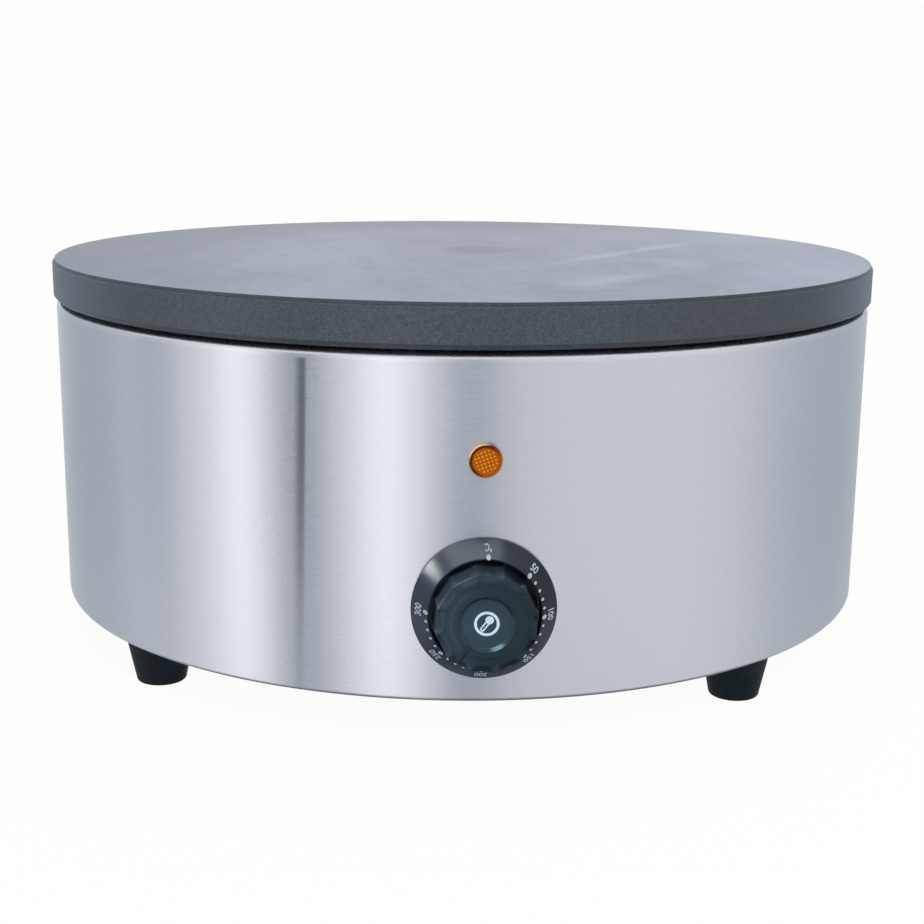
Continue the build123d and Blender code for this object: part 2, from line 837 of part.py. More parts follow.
block_width = (block_poles + 1) * block_pitch
block_top = base_top + block_height
earth_offset = block_width / 2 + earth_gap
pole_x = [(i - (block_poles - 1) / 2) * block_pitch for i in range(block_poles)]
block_screw_places = [(side * block_width / 2 - side * block_pitch / 3, block_distance) for side in (-1, 1)]
clamp_screw_places = [
    (x, block_distance + side * block_screw_spacing / 2) for x in pole_x for side in (-1, 1)
]
block_front = block_distance - block_depth / 2


def terminal_block():
    """Three-pole ceramic block on the base plate."""
    block = box(block_width, block_depth, base_top, block_top, 0, block_distance)
    for x in pole_x:
        entry = Pos(x, block_front, base_top + block_bore_height) * Rot(-90, 0, 0)
        block -= entry * Cylinder(block_bore, block_depth, align=LOW)
    for x, y in clamp_screw_places:
        block -= rod(block_screw_radius + thread_fit, block_top - block_screw_length, block_top, x, y)
    for x, y in block_screw_places:
        block -= rod(M3.radius + free_hole, base_top, block_top, x, y)
    return block


def block_clamp_screws():
    """Wire-clamping screws, two for each pole."""
    return group(
        rod(block_screw_radius, block_top - block_screw_length, block_top - thread_fit, x, y)
        for x, y in clamp_screw_places
    )


def block_screws():
    """Two screws that hold the block on the base plate."""
    return group(screw(M3, block_top, base_z + sheet, x, y) for x, y in block_screw_places)


def earth_stud():
    """Earth stud fixed in the base plate."""
    return rod(M5.radius, base_z + sheet, base_top + earth_stud_length, earth_offset, block_distance)


def earth_nuts():
    """Two nuts with the earth tag between them."""
    upper = base_top + M5.nut_height + washer
    return group(nut(M5, low, earth_offset, block_distance) for low in (base_top, upper))


def earth_tag():
    """Ring tag on the earth stud."""
    low = base_top + M5.nut_height
    return tube(M5.nut_width / 2, M5.radius + free_hole, low, low + washer,
                earth_offset, block_distance)


# ---- Internal leads --------------------------------------------------------------------------


def pole_entry(pole):
    """Where a lead ends inside one pole of the block."""
    return Vector(pole_x[pole], block_front + block_bore_depth, base_top + block_bore_height)


def blade_end(index):
    """Where a lead meets one of the thermostat's blades."""
    x, rise = blade_places[index]
    return Vector(x, thermostat_back + blade_length, control_z + rise)


def heater_pin(loop_radius, side, turn):
    """Where a lead meets an element's terminal, off its centre."""
    tail = tail_points(loop_radius)[side]
    x, y = on_circle(terminal_radius - lead_radius - touch, turn)
    return Vector(tail.X + x, tail.Y + y, terminal_end)


def pin_to_pin(start, end, sag):
    """Short link hanging between two element terminals."""
    run = end - start
    return lead([
        start,
        start + Vector(0, 0, -sag),
        start + run * 0.3 + Vector(0, 0, -1.7 * sag),
        start + run * 0.7 + Vector(0, 0, -1.7 * sag),
        end + Vector(0, 0, -sag),
        end,
    ], lead_radius)


def live_lead():
    """From the terminal block to the thermostat."""
    start, end = pole_entry(0), blade_end(2)
    return lead([
        start,
        start + Vector(0, -24, 0),
        start + Vector(-16, -60, 4),
        start + Vector(-28, -108, 6),
        start + Vector(-26, -160, 8),
        end + Vector(-20, 52, -14),
        end + Vector(0, 22, 0),
        end,
    ], lead_radius)


def neutral_lead():
    """From the terminal block to the outer element."""
    start, end = pole_entry(2), heater_pin(outer_loop_radius, 0, 90)
    return lead([
        start,
        start + Vector(0, -22, 0),
        start + Vector(22, -42, 10),
        end + Vector(-40, -6, -52),
        end + Vector(-10, -2, -36),
        end + Vector(0, 0, -16),
        end,
    ], lead_radius)


def heater_lead():
    """From the thermostat to the outer element."""
    start, end = blade_end(3), heater_pin(outer_loop_radius, 1, -30)
    return lead([
        start,
        start + Vector(0, 24, 0),
        start + Vector(34, 54, 4),
        end + Vector(-28, -66, -40),
        end + Vector(-4, -22, -34),
        end + Vector(0, 0, -16),
        end,
    ], lead_radius)


def heater_links():
    """Two links that feed the inner element from the outer one."""
    links = []
    for side, turn in ((0, 30), (1, 30)):
        inner = heater_pin(inner_loop_radius, side, turn)
        outer = heater_pin(outer_loop_radius, side, turn + 180)
        links.append(pin_to_pin(inner, outer, 12))
    return group(links)


def earth_lead():
    """From the terminal block to the earth stud."""
    start = pole_entry(1)
    end = Vector(earth_offset, block_distance - M5.nut_width / 2 - touch,
                 base_top + M5.nut_height + washer / 2)
    return lead([
        start,
        start + Vector(0, -20, 0),
        start + Vector(18, -36, 2),
        end + Vector(-18, -26, 2),
        end + Vector(0, -16, 0),
        end,
    ], lead_radius)


def lamp_leads():
    """Two leads from the pilot lamp down to the thermostat."""
    leads = []
    for index, (x, _) in enumerate(lamp_pin_places):
        start = Vector(x, -shell_radius - lamp_pin_tip, lamp_z)
        end = blade_end(index)
        leads.append(lead([
            start,
            start + Vector(0, 16, 0),
            start + Vector(end.X - x, 26, -18),
            end + Vector(0, 24, 14),
            end + Vector(0, 14, 0),
            end,
        ], lamp_lead_radius))
    return group(leads)


# ---- Output -----------------------------------------------------------------------------------

nodes = {
    "griddle_plate": griddle_plate(),
    "plate_studs": plate_studs(),
    "plate_washers": plate_washers(),
    "plate_nuts": plate_nuts(),
    "outer_heating_element": heater(outer_loop_radius),
    "inner_heating_element": heater(inner_loop_radius),
    "heater_terminals": heater_terminals(),
    "heater_bushes": heater_bushes(),
    "clamp_bars": clamp_bars(),
    "clamp_studs": clamp_studs(),
    "clamp_nuts": clamp_nuts(),
    "sensor_bulb": sensor_bulb(),
    "bulb_clips": bulb_clips(),
    "bulb_clip_screws": bulb_clip_screws(),
    "capillary_tube": capillary_tube(),
    "reflector_pan": reflector_pan(),
    "insulation_disc": insulation_disc(),
    "drum_shell": drum_shell(),
    "base_plate": base_plate(),
    "base_screws": base_screws(),
    "base_nuts": base_nuts(),
    "foot_washers": foot_washers(),
    "foot_screws": foot_screws(),
    "foot_nuts": foot_nuts(),
    "control_bezel": control_bezel(),
    "control_knob": control_knob(),
    "knob_clip": knob_clip(),
    "thermostat_spindle": thermostat_spindle(),
    "thermostat_yoke": thermostat_yoke(),
    "thermostat_body": thermostat_body(),
    "thermostat_blades": thermostat_blades(),
    "thermostat_screws": thermostat_screws(),
    "lamp_lens": lamp_lens(),
    "lamp_body": lamp_body(),
    "lamp_nut": lamp_nut(),
    "lamp_pins": lamp_pins(),
    "gland_seal": gland_seal(),
    "gland_body": gland_body(),
    "gland_cap": gland_cap(),
    "gland_bush": gland_bush(),
    "gland_locknut": gland_locknut(),
    "terminal_block": terminal_block(),
    "block_clamp_screws": block_clamp_screws(),
    "block_screws": block_screws(),
    "earth_stud": earth_stud(),
    "earth_nuts": earth_nuts(),
    "earth_tag": earth_tag(),
    "live_lead": live_lead(),
    "neutral_lead": neutral_lead(),
    "heater_lead": heater_lead(),
    "heater_links": heater_links(),
    "earth_lead": earth_lead(),
    "lamp_leads": lamp_leads(),
}
corners = ("front_left", "front_right", "rear_right", "rear_left")
for corner, place in zip(corners, foot_places):
    nodes["foot_" + corner] = foot(*place)

os.makedirs("parts", exist_ok=True)
for name, shape in nodes.items():
    export_step(shape, f"parts/{name}.step")
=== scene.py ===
from math import cos, hypot, pi, radians, sin, tan

import bmesh
import bpy
from mathutils import Matrix, Vector


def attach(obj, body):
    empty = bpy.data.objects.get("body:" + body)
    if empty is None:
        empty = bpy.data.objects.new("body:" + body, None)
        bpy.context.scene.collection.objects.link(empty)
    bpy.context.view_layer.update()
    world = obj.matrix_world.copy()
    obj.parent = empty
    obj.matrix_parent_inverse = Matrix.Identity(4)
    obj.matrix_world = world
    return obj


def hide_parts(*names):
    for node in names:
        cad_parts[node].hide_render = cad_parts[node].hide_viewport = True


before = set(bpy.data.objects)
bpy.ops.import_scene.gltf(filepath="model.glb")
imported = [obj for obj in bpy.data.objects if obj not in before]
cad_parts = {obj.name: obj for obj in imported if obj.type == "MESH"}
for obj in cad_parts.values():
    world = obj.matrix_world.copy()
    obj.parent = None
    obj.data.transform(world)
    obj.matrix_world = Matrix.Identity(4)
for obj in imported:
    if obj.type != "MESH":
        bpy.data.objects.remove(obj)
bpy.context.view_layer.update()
scene = bpy.context.scene

# ---- Camera ------------------------------------------------------------------
# It stands a little left of the knob and slightly above the plate, and leans
# half a degree, so that the front and the whole top show.

view_distance = 0.81115
view_aim = Vector((0.000575, -0.00003, 0.07293))
view_turn = radians(-2.82)
view_drop = radians(13.1145)
view_lean = radians(0.5427)

camera_data = bpy.data.cameras.new("camera")
camera_data.sensor_width = 36.0
camera_data.lens = 60.99
camera = bpy.data.objects.new("camera", camera_data)
camera.matrix_world = (
    Matrix.Translation(view_aim)
    @ Matrix.Rotation(view_turn, 4, "Z")
    @ Matrix.Rotation(pi / 2 - view_drop, 4, "X")
    @ Matrix.Translation((0, 0, view_distance))
    @ Matrix.Rotation(view_lean, 4, "Z")
)
scene.collection.objects.link(camera)
scene.camera = camera
scene.view_settings.view_transform = "Standard"

# ---- Griddle plate -----------------------------------------------------------
# A disc of bare cast iron. The top is ground flat, the deep rim keeps the grain
# of its sand mould, and a narrow turned ledge joins the two.


class Value:
    """An output socket. Arithmetic on it adds the Math nodes."""

    def __init__(self, graph, socket):
        self.graph = graph
        self.socket = socket

    def math(self, operation, *others):
        operands = dict(enumerate((self, *others)))
        return self.graph.add("ShaderNodeMath", {"operation": operation}, operands)

    def __add__(self, other):
        return self.math("ADD", other)

    def __sub__(self, other):
        return self.math("SUBTRACT", other)

    def __rsub__(self, other):
        return self.math("MULTIPLY", -1.0) + other

    def __mul__(self, other):
        return self.math("MULTIPLY", other)

    def __truediv__(self, other):
        return self.math("DIVIDE", other)

    def __rtruediv__(self, other):
        return self.math("POWER", -1.0) * other

    def __pow__(self, other):
        return self.math("POWER", other)

    __radd__ = __add__
    __rmul__ = __mul__


class Graph:
    """A node tree being built."""

    def __init__(self, tree):
        self.tree = tree
        tree.nodes.clear()

    def add(self, kind, settings=None, sockets=None, output=0):
        """Adds one node and gives one of its outputs."""
        node = self.tree.nodes.new(kind)
        for name, setting in (settings or {}).items():
            setattr(node, name, setting)
        for name, value in (sockets or {}).items():
            if isinstance(value, Value):
                self.tree.links.new(value.socket, node.inputs[name])
            else:
                node.inputs[name].default_value = value
        return Value(self, node.outputs[output]) if node.outputs else None

    def parts(self, vector):
        """The x, y and z of a vector."""
        split = self.add("ShaderNodeSeparateXYZ", None, {0: vector}).socket.node
        return [Value(self, socket) for socket in split.outputs]

    def mix(self, share, one, other):
        """Colour between one and other."""
        return self.add("ShaderNodeMix", {"data_type": "RGBA"}, {0: share, 6: one, 7: other}, 2)

    def noise(self, place, scale, detail=2.0, stretch=(1, 1, 1)):
        """Noise from 0 to 1, with scale features to the metre."""
        stretched = self.add("ShaderNodeMapping", None, {"Vector": place, "Scale": stretch})
        return self.add("ShaderNodeTexNoise", None,
                        {"Vector": stretched, "Scale": scale, "Detail": detail})

    def step(self, value, low, high):
        """Smooth step from 0 below low to 1 above high."""
        return self.add("ShaderNodeMapRange", {"interpolation_type": "SMOOTHSTEP"},
                        {"Value": value, "From Min": low, "From Max": high})

    def band(self, value, start, full, fading, end):
        """Smooth step up from start to full, and down again from fading to end."""
        return self.step(value, start, full) * (1 - self.step(value, fading, end))

    def bump(self, height, depth, strength=1.0):
        """Normal over a relief of some depth in metres."""
        return self.add("ShaderNodeBump", None,
                        {"Height": height, "Distance": depth, "Strength": strength})

    def surface(self, **sockets):
        """Ends the tree in one Principled shader; underscores stand for spaces."""
        named = {name.replace("_", " "): value for name, value in sockets.items()}
        shader = self.add("ShaderNodeBsdfPrincipled", None, named)
        self.add("ShaderNodeOutputMaterial", None, {"Surface": shader})


def new_material(name):
    """An empty material, its graph and the object's coordinates, in metres."""
    material = bpy.data.materials.new(name)
    material.use_nodes = True
    graph = Graph(material.node_tree)
    return material, graph, graph.add("ShaderNodeTexCoord", output="Object")


def distance(x, y):
    """Length of a flat offset given as two values."""
    return (x * x + y * y).math("SQRT")


def rounded(*corners, arc_steps=6):
    """Closed section from corners (x, y) or (x, y, rounding)."""
    points = []
    for i, corner in enumerate(corners):
        here = Vector(corner[:2])
        if len(corner) == 2:
            points.append(here)
            continue
        rounding = corner[2]
        into = (Vector(corners[i - 1][:2]) - here).normalized()
        away = (Vector(corners[(i + 1) % len(corners)][:2]) - here).normalized()
        half = into.angle(away) / 2
        centre = here + (into + away).normalized() * rounding / sin(half)
        start = here + into * rounding / tan(half) - centre
        end = here + away * rounding / tan(half) - centre
        swing = start.angle_signed(end)
        for k in range(arc_steps + 1):
            points.append(centre + Matrix.Rotation(-swing * k / arc_steps, 2) @ start)
    return points


sharp_angle = radians(28)      # faces that meet at more than this keep a sharp edge


def finished(shape, name):
    """Mesh with faces outwards, smooth but for its sharp edges."""
    bmesh.ops.recalc_face_normals(shape, faces=shape.faces)
    mesh = bpy.data.meshes.new(name)
    shape.to_mesh(mesh)
    shape.free()
    mesh.shade_smooth()
    mesh.set_sharp_from_angle(angle=sharp_angle)
    return mesh


def turned(name, section, steps=96):
    """A closed section of (radius, height) turned about Z."""
    shape = bmesh.new()
    angles = [2 * pi * i / steps for i in range(steps)]
    rings = []
    for radius, height in section:
        if radius < 1e-6:
            rings.append([shape.verts.new((0, 0, height))] * steps)
        else:
            rings.append([shape.verts.new((radius * cos(angle), radius * sin(angle), height))
                          for angle in angles])
    for low, high in zip(rings, rings[1:] + rings[:1]):
        for i in range(steps):
            corners = dict.fromkeys((low[i], low[i - 1], high[i - 1], high[i]))
            if len(corners) > 2:
                shape.faces.new(corners)
    return finished(shape, name)


def fit(mesh, material, slot, *replaced, body="base", place=Matrix()):
    """Makes a mesh in millimetres a piece of the object, in place of CAD nodes."""
    mesh.transform(Matrix.Scale(0.001, 4) @ place)
    if not mesh.materials:
        mesh.materials.append(material)
    piece = bpy.data.objects.new(mesh.name, mesh)
    scene.collection.objects.link(piece)
    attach(piece, body)
    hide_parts(*replaced)


def dress(material, *names):
    """Gives CAD nodes a material."""
    for name in names:
        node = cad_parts[name]
        if not node.material_slots:
            node.data.materials.append(material)
        for slot in node.material_slots:
            slot.material = material


plate_radius = 200.0
plate_top = 181.5
plate_under = 169.0
rim_low = 162.85
rim_inside = plate_radius - 11.0
rim_bevel = 2.0
ledge_drop = 1.6
ledge_width = 0.9
bevel_line_height = 165.0           # height of a dark line painted as shade where the lower bevel meets the rim

worn_spot = (0.008, 0.010)     # x, y of a dark spot near the middle
wiped_streaks = (              # x, y at both ends, width, strength
    (0.022, -0.078, 0.150, 0.088, 0.008, 1.1),
    (0.030, -0.158, 0.080, -0.092, 0.016, 1.0),
    (0.085, -0.020, 0.110, -0.075, 0.014, 0.5),
)

cast_iron, iron, place = new_material("cast_iron")
east, north, height = iron.parts(place)
radius = distance(east, north)

clouds = iron.noise(place, 9.0, 5.0, (1.2, 0.6, 1.0))
circles = iron.add("ShaderNodeTexNoise", {"noise_dimensions": "1D"},
                   {"W": radius, "Scale": 60.0, "Detail": 4.0})
patches = iron.noise(place, 40.0, 3.0, (1.3, 0.5, 1.0))
scuffs = iron.noise(place, 170.0, 3.0, (1.2, 0.5, 1.0))
tone = clouds * 0.55 + circles * 0.11 + patches * 0.20 + scuffs * 0.14
from_spot = distance(east - worn_spot[0], north - worn_spot[1])
tone = tone - 0.26 * (1 - iron.step(from_spot, 0.008, 0.024))
# Painted shade and light: the top is darker on its outer part towards the back and left, darker
# towards the left and lighter towards the right.
tone = tone - 0.20 * iron.step(radius, 0.090, 0.200) * iron.step(north - east, -0.10, 0.20)
tone = tone + 0.14 * iron.step(east, 0.05, 0.17) - 0.07 * iron.step(east * -1, 0.08, 0.17)
for x0, y0, x1, y1, width, strength in wiped_streaks:
    length = hypot(x1 - x0, y1 - y0)
    along = ((east - x0) * (x1 - x0) + (north - y0) * (y1 - y0)) / length
    aside = (north - y0) * (x1 - x0) / length - (east - x0) * (y1 - y0) / length
    ends = iron.band(along, 0.0, 0.3 * length, 0.6 * length, length)
    breadth = 1 - iron.step(aside.math("ABSOLUTE"), 0.0, width)
    tone = tone + 0.30 * strength * ends * breadth * patches
ground_colour = iron.mix(iron.step(tone, 0.22, 0.84),
                         (0.196, 0.227, 0.300, 1), (0.436, 0.480, 0.605, 1))

grain = iron.noise(place, 1500.0, 2.0)
lumps = iron.noise(place, 500.0, 2.0)
cast_colour = iron.mix(iron.step(grain * 0.7 + lumps * 0.3, 0.36, 0.66),
                       (0.018, 0.031, 0.045, 1), (0.054, 0.076, 0.099, 1))
# Painted shade: the rim's lower bevel is darkened.
painted_bevel_shade = 1 - iron.step(height, (rim_low + 1.7) / 1000, (rim_low + 2.1) / 1000)
cast_colour = iron.mix(painted_bevel_shade * 0.2, cast_colour, (0.012, 0.017, 0.022, 1))
# Painted sheen: the rim is lighter at its far left and far right.
painted_side_sheen = iron.step(east.math("ABSOLUTE"), 0.14, 0.19)
cast_colour = iron.mix(painted_side_sheen * 0.55, cast_colour, (0.110, 0.155, 0.210, 1))
# Painted shade: a band of the rim right of the middle is darker.
painted_rim_shade = iron.band(east, 0.03, 0.09, 0.13, 0.17)
cast_colour = iron.mix(painted_rim_shade * 0.45, cast_colour, (0.012, 0.018, 0.024, 1))
# Painted shade: a thin dark line where the lower bevel meets the rim.
painted_bevel_line = iron.band(height, *((bevel_line_height + off) / 1000 for off in (-0.4, -0.1, 0.1, 0.4)))
# Painted shade: the narrow wall above the ledge is darkened.
painted_ledge_shade = iron.step(height, (plate_top - 1.65) / 1000, (plate_top - 1.45) / 1000)
cast_colour = iron.mix(painted_bevel_line * 0.85 + painted_ledge_shade * 0.35, cast_colour, (0.010, 0.014, 0.018, 1))

ground = iron.step(height, (plate_top - 0.25) / 1000, (plate_top - 0.05) / 1000)
iron.surface(
    Base_Color=iron.mix(ground, cast_colour, ground_colour),
    Metallic=ground * 0.6,
    Specular_IOR_Level=0.7,
    Roughness=0.36 + 0.08 * clouds,
    Normal=iron.bump(grain * 0.6 + lumps * 0.4, 0.00020, 0.8),
)
iron_mesh = turned("griddle_plate_casting", rounded(
    (0, plate_under), (rim_inside, plate_under, 1.5), (rim_inside, rim_low, 0.8),
    (plate_radius - rim_bevel, rim_low, 0.3), (plate_radius, rim_low + rim_bevel, 0.4),
    (plate_radius, plate_top - ledge_drop, 0.7),
    (plate_radius - ledge_width, plate_top - ledge_drop),
    (plate_radius - ledge_width - 0.2, plate_top, 0.2), (0, plate_top),
), 256)
fit(iron_mesh, cast_iron, "plate_iron", "griddle_plate")

# ---- Plate fixings -----------------------------------------------------------
# Zinc-plated studs and nuts pull the plate down on ceramic washers, which keep
# its heat from the drum.


def mottled(name, dark, light, scale, roughness, relief, metallic=0.0, specular=0.5):
    """Material mottled between two colours, over a fine relief."""
    material, graph, place = new_material(name)
    mottle = graph.noise(place, scale, 4.0)
    graph.surface(
        Base_Color=graph.mix(graph.step(mottle, 0.35, 0.65), (*dark, 1), (*light, 1)),
        Metallic=metallic,
        Roughness=roughness + 0.12 * mottle,
        Specular_IOR_Level=specular,
        Normal=graph.bump(graph.noise(place, scale * 12), relief, 0.6),
    )
    return material


zinc = mottled("zinc_plate", (0.50, 0.50, 0.47), (0.62, 0.62, 0.60),
               120, 0.26, 0.00003, metallic=1.0)
ceramic = mottled("ceramic", (0.70, 0.67, 0.60), (0.82, 0.80, 0.74), 90, 0.55, 0.00008)
dress(zinc, "plate_studs", "plate_nuts")
dress(ceramic, "plate_washers")

# ---- Heating elements --------------------------------------------------------
# Two sheathed rings, blued and browned by heat, are pressed to the plate by
# sheet steel bars. Their brass pins leave through ceramic bushes.

sheath = mottled("heated_sheath", (0.085, 0.075, 0.085), (0.20, 0.15, 0.11),
                 45, 0.38, 0.00004, metallic=0.9)
sheet_steel = mottled("sheet_steel", (0.46, 0.47, 0.48), (0.58, 0.59, 0.60),
                      160, 0.32, 0.00002, metallic=1.0)
brass = mottled("brass", (0.66, 0.50, 0.24), (0.80, 0.64, 0.34),
                110, 0.24, 0.00002, metallic=1.0)
dress(sheath, "outer_heating_element", "inner_heating_element")
dress(sheet_steel, "clamp_bars")
dress(zinc, "clamp_studs", "clamp_nuts")
dress(brass, "heater_terminals")
dress(ceramic, "heater_bushes")

# ---- Heat sensor -------------------------------------------------------------
# A copper bulb held under the plate by sprung clips and their screws. A copper
# capillary joins it to the thermostat.

copper = mottled("drawn_copper", (0.56, 0.30, 0.19), (0.76, 0.44, 0.30),
                 80, 0.28, 0.00002, metallic=1.0)
spring_steel = mottled("spring_steel", (0.34, 0.34, 0.36), (0.46, 0.46, 0.48),
                       100, 0.30, 0.00002, metallic=1.0)
dress(copper, "sensor_bulb", "capillary_tube")
dress(spring_steel, "bulb_clips")
dress(zinc, "bulb_clip_screws")

# ---- Heat shield -------------------------------------------------------------
# An aluminised steel pan under the elements turns their heat back up. A blanket
# of ceramic fibre lies in it.

fibre = mottled("fibre_blanket", (0.74, 0.72, 0.66), (0.90, 0.88, 0.84), 240, 0.85, 0.00060)
dress(sheet_steel, "reflector_pan")
dress(fibre, "insulation_disc")

# ---- Brushed drum ------------------------------------------------------------
# Stainless sheet brushed along its length, rolled into a drum and turned in at
# both edges. A dark upright line left of the dial is a painted reflection.

drum_radius = 198.8
drum_low = 20.0
drum_high = 161.0
drum_sheet = 1.0
drum_bend = 2.0
low_flange = 36.0
high_flange = 32.0
reflection_line_bearing = radians(-21.4)  # from the front
reflection_line_lean = 0.023              # metres sideways to the metre up

brushed_steel, steel, place = new_material("brushed_steel")
east, north, height = steel.parts(place)
long_hairs = steel.noise(place, 60.0, 4.0, (1.0, 1.0, 60.0))
short_hairs = steel.noise(place, 260.0, 3.0, (1.0, 1.0, 9.0))
brushing = long_hairs * 0.45 + short_hairs * 0.55
roll_waves = steel.noise(place, 60.0, 2.0, (1.0, 1.0, 0.0))
wall_end = (drum_high - drum_bend) / 1000
# Painted highlight: a pale line along the top of the wall, just under its bend, where the brushing
# also fades.
painted_lip_highlight = steel.step(height, wall_end - 0.0012, wall_end - 0.0002)

# Painted reflection: a dark upright line left of the dial, fainter near the bottom.
past_reflection_line = east * cos(reflection_line_bearing) + north * sin(reflection_line_bearing) + 0.0018 - height * reflection_line_lean
behind_front = north * cos(reflection_line_bearing) - east * sin(reflection_line_bearing)
painted_reflection_line = steel.band(past_reflection_line, -0.0047, -0.0003, 0.0002, 0.0021)
painted_reflection_line = painted_reflection_line * (1 - steel.step(behind_front, -0.05, 0.0))
painted_reflection_line = painted_reflection_line * (1 - steel.step(height, wall_end - 0.0015, wall_end - 0.0005))
painted_reflection_line = painted_reflection_line * (0.14 + 0.46 * steel.step(height, 0.02, 0.13))

brushed_colour = steel.mix(steel.step(brushing, 0.36, 0.64),
                           (0.605, 0.617, 0.675, 1), (0.635, 0.648, 0.708, 1))
brushed_colour = steel.mix(painted_lip_highlight * 0.15, brushed_colour, (0.96, 0.97, 1.00, 1))
steel.surface(
    Base_Color=steel.mix(painted_reflection_line, brushed_colour, (0.02, 0.02, 0.03, 1)),
    Metallic=1.0,
    Roughness=0.19 + 0.18 * brushing,
    Anisotropic=0.85,
    Anisotropic_Rotation=0.25,
    Normal=steel.bump((brushing * 1.2 + roll_waves - 1.1) * (1 - painted_lip_highlight), 0.00008, 0.5),
)
drum_inside = drum_radius - drum_sheet
inner_bend = drum_bend - drum_sheet
drum_mesh = turned("drum_wall", rounded(
    (drum_radius - low_flange, drum_low), (drum_radius, drum_low, drum_bend),
    (drum_radius, drum_high, drum_bend), (drum_radius - high_flange, drum_high),
    (drum_radius - high_flange, drum_high - drum_sheet),
    (drum_inside, drum_high - drum_sheet, inner_bend),
    (drum_inside, drum_low + drum_sheet, inner_bend),
    (drum_radius - low_flange, drum_low + drum_sheet),
    arc_steps=8,
), 360)
fit(drum_mesh, brushed_steel, "drum_steel", "drum_shell")

# ---- Base plate --------------------------------------------------------------
# A vented steel disc dropped into the drum and held by four cross-head screws
# through the drum's turned-in lower edge.


def evaluated(carrier):
    """The mesh that a loose object comes to; the object itself goes."""
    scene.collection.objects.link(carrier)
    evaluation = bpy.context.evaluated_depsgraph_get()
    mesh = bpy.data.meshes.new_from_object(carrier.evaluated_get(evaluation))
    bpy.data.objects.remove(carrier)
    return mesh


class Recipe(Graph):
    """A Geometry Nodes group with named numbers."""

    def __init__(self, name, **numbers):
        self.name = name
        self.numbers = numbers
        tree = bpy.data.node_groups.new(name, "GeometryNodeTree")
        for in_out in ("INPUT", "OUTPUT"):
            tree.interface.new_socket("Geometry", in_out=in_out, socket_type="NodeSocketGeometry")
        super().__init__(tree)
        for number in numbers:
            tree.interface.new_socket(number, in_out="INPUT", socket_type="NodeSocketFloat")
        self.entry = tree.nodes.new("NodeGroupInput")

    def given(self, name):
        return Value(self, self.entry.outputs[name])

    def vector(self, x=0.0, y=0.0, z=0.0):
        return self.add("ShaderNodeCombineXYZ", None, {0: x, 1: y, 2: z})

    def cut(self, blank, *cutters):
        """A closed mesh less the cutters."""
        boolean = self.add("GeometryNodeMeshBoolean", None, {"Mesh 1": blank})
        for cutter in cutters:
            self.tree.links.new(cutter.socket, boolean.socket.node.inputs["Mesh 2"])
        return boolean

    def bake(self, geometry, material, start=None):
        """The geometry, realised and with its material, as one mesh."""
        realised = self.add("GeometryNodeRealizeInstances", None, {0: geometry})
        coated = self.add("GeometryNodeSetMaterial", None,
                          {"Geometry": realised, "Material": material})
        self.add("NodeGroupOutput", None, {0: coated})
        carrier = bpy.data.objects.new(self.name, start or bpy.data.meshes.new(self.name))
        modifier = carrier.modifiers.new(self.name, "NODES")
        modifier.node_group = self.tree
        for item in self.tree.interface.items_tree:
            if item.name in self.numbers:
                modifier[item.identifier] = self.numbers[item.name]
        mesh = evaluated(carrier)
        mesh.name = self.name
        mesh.set_sharp_from_angle(angle=sharp_angle)
        return mesh


def cross_head_screws(name, head_radius, head_height, shank, low, tip, circle, first_bearing):
    """Four upright screws on a circle, heads down, each with its cross turned its own way."""
    recipe = Recipe(name, Circle=circle, Bearing=radians(first_bearing), Recess=head_height * 0.45)
    long_side = head_radius * 1.15
    short_side = head_radius * 0.26
    bars = []
    for size_x, size_y in ((long_side, short_side), (short_side, long_side)):
        size = recipe.vector(size_x, size_y, recipe.given("Recess") * 2)
        bar = recipe.add("GeometryNodeMeshCube", None, {"Size": size})
        bars.append(recipe.add("GeometryNodeTransform", None,
                               {"Geometry": bar, "Translation": (0, 0, low)}))
    index = recipe.add("GeometryNodeInputIndex")
    bearing = recipe.given("Bearing") + index * (pi / 2)
    spot = recipe.vector(recipe.given("Circle") * bearing.math("COSINE"),
                         recipe.given("Circle") * bearing.math("SINE"))
    points = recipe.add("GeometryNodePoints", None, {"Count": 4, "Position": spot})
    copies = recipe.add("GeometryNodeInstanceOnPoints", None, {
        "Points": points, "Instance": recipe.cut(recipe.given("Geometry"), *bars),
        "Rotation": recipe.vector(z=index * 0.6 + 0.3),
    })
    high = low + head_height
    blank = turned(name, rounded(
        (0, low), (head_radius * 0.72, low, 0.5), (head_radius, low + head_height * 0.55, 0.5),
        (head_radius, high), (shank, high), (shank, tip - 0.5), (shank - 0.5, tip), (0, tip),
        arc_steps=4,
    ), 32)
    return recipe.bake(copies, zinc, blank)


dress(sheet_steel, "base_plate")
dress(zinc, "base_nuts")
base_screws = cross_head_screws(
    "base_plate_screws", head_radius=4.0, head_height=2.6, shank=2.0,
    low=17.4, tip=27.4, circle=176.0, first_bearing=-95.5,
)
fit(base_screws, zinc, "zinc_steel", "base_screws")

# ---- Feet --------------------------------------------------------------------
# Four tapered feet of moulded black rubber. A cross-head screw with a washer
# and a nut goes up through the recess in each sole.

foot_circle = 181.5
foot_bearings = {
    "foot_front_left": -140.5,
    "foot_front_right": -50.5,
    "foot_rear_right": 39.5,
    "foot_rear_left": 129.5,
}
sole_radius = 10.9
foot_top_radius = 15.0
recess_radius = 6.2
recess_depth = 9.0
screw_hole = 2.8

